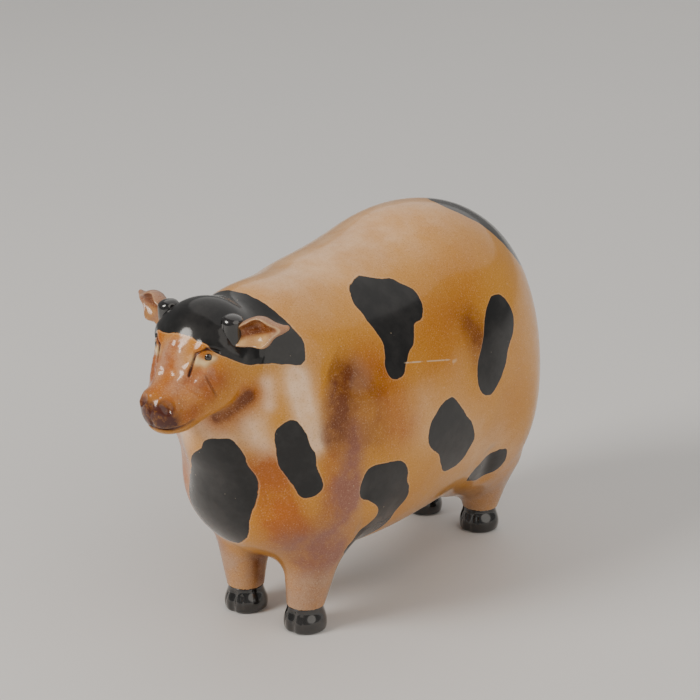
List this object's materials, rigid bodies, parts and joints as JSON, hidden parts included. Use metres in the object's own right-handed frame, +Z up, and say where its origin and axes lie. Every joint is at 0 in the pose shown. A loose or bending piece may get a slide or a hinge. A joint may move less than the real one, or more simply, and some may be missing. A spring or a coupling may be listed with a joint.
{
  "type": "coin bank",
  "caption": "Glazed clay coin bank shaped as a fat standing cow, with a slot in the rump for coins and a rubber stopper in the belly to take them out.",
  "frame": {"origin": "on the ground at the centre of the bounding box", "axes": "+Z up, the cow faces -Y, its own left side is +X"},
  "size_m": [0.092, 0.2118, 0.1429],
  "materials": {
    "coat": "clear gloss over amber brown with near-black patches",
    "tan": "clear gloss over tan brown",
    "black": "high gloss black",
    "eye": "high gloss, dark pupil with a cream rim",
    "rubber": "matt moulded rubber"
  },
  "bodies": {
    "cow": {"body_shell": "coat", "head_shell": "coat", "left_ear": "tan", "right_ear": "tan", "left_horn": "black", "right_horn": "black", "left_eye": "eye", "right_eye": "eye", "front_left_leg": "tan", "front_right_leg": "tan", "rear_left_leg": "tan", "rear_right_leg": "tan", "front_left_hoof": "black", "front_right_hoof": "black", "rear_left_hoof": "black", "rear_right_hoof": "black", "tail": "coat", "tail_tuft": "black"},
    "stopper": {"belly_stopper": "rubber"}
  },
  "joints": [
    {"name": "stopper_pull", "type": "slide", "parent": "cow", "child": "stopper", "axis": [0, 0, -1], "range_m": [0, 0.014]}
  ]
}
